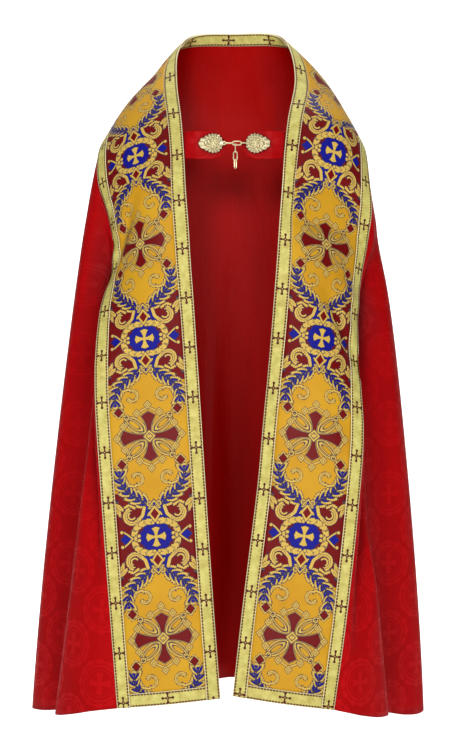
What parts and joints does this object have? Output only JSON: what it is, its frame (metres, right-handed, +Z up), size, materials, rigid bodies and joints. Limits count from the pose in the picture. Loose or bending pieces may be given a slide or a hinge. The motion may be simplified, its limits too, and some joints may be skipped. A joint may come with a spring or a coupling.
{
  "type": "cope vestment",
  "caption": "Long open cope of red damask, worn over the shoulders, with brocade orphreys edged in galloon, a satin lining and a chain clasp on cloth tabs.",
  "frame": {"origin": "on the midline, midway between the two points where the neck edge rests on the wearer's shoulders", "axes": "+Z up, the open front faces -Y, +X is the wearer's left"},
  "size_m": [0.8641, 0.5616, 1.5031],
  "materials": {
    "red_damask": "red damask, tone on tone, low sheen",
    "red_satin": "dark red satin lining, soft sheen",
    "brocade": "gold brocade woven in maroon, blue and pale gold",
    "galloon": "pale gold galloon with maroon crosses and dashes",
    "clasp_metal": "cast and gilt, matt in the hollows"
  },
  "bodies": {
    "cope": {"body": "red_damask", "orphrey_left": "brocade", "orphrey_right": "brocade", "galloon_edge_left": "galloon", "galloon_edge_right": "galloon", "galloon_outer_left": "galloon", "galloon_outer_right": "galloon", "galloon_hem_left": "galloon", "galloon_hem_right": "galloon", "lining": "red_satin", "neck_facing": "galloon", "tab_left": "red_damask", "tab_right": "red_damask", "link_front": "clasp_metal", "link_flat": "clasp_metal", "clasp_plate_left": "clasp_metal", "clasp_plate_right": "clasp_metal"},
    "first_tail_link": {"tail_link_1": "clasp_metal"},
    "second_tail_link": {"tail_link_2": "clasp_metal"},
    "third_tail_link": {"tail_link_3": "clasp_metal"}
  },
  "joints": [
    {"name": "first_swing", "type": "hinge", "parent": "cope", "child": "first_tail_link", "pos_m": [0.0034, -0.1346, -0.23385], "axis": [1, 0, 0], "range_deg": [-50, 50]},
    {"name": "second_swing", "type": "hinge", "parent": "first_tail_link", "child": "second_tail_link", "pos_m": [0.0034, -0.1346, -0.25045], "axis": [0, 1, 0], "range_deg": [-35, 35]},
    {"name": "third_swing", "type": "hinge", "parent": "second_tail_link", "child": "third_tail_link", "pos_m": [0.0034, -0.1346, -0.26705], "axis": [1, 0, 0], "range_deg": [-20, 20]}
  ]
}
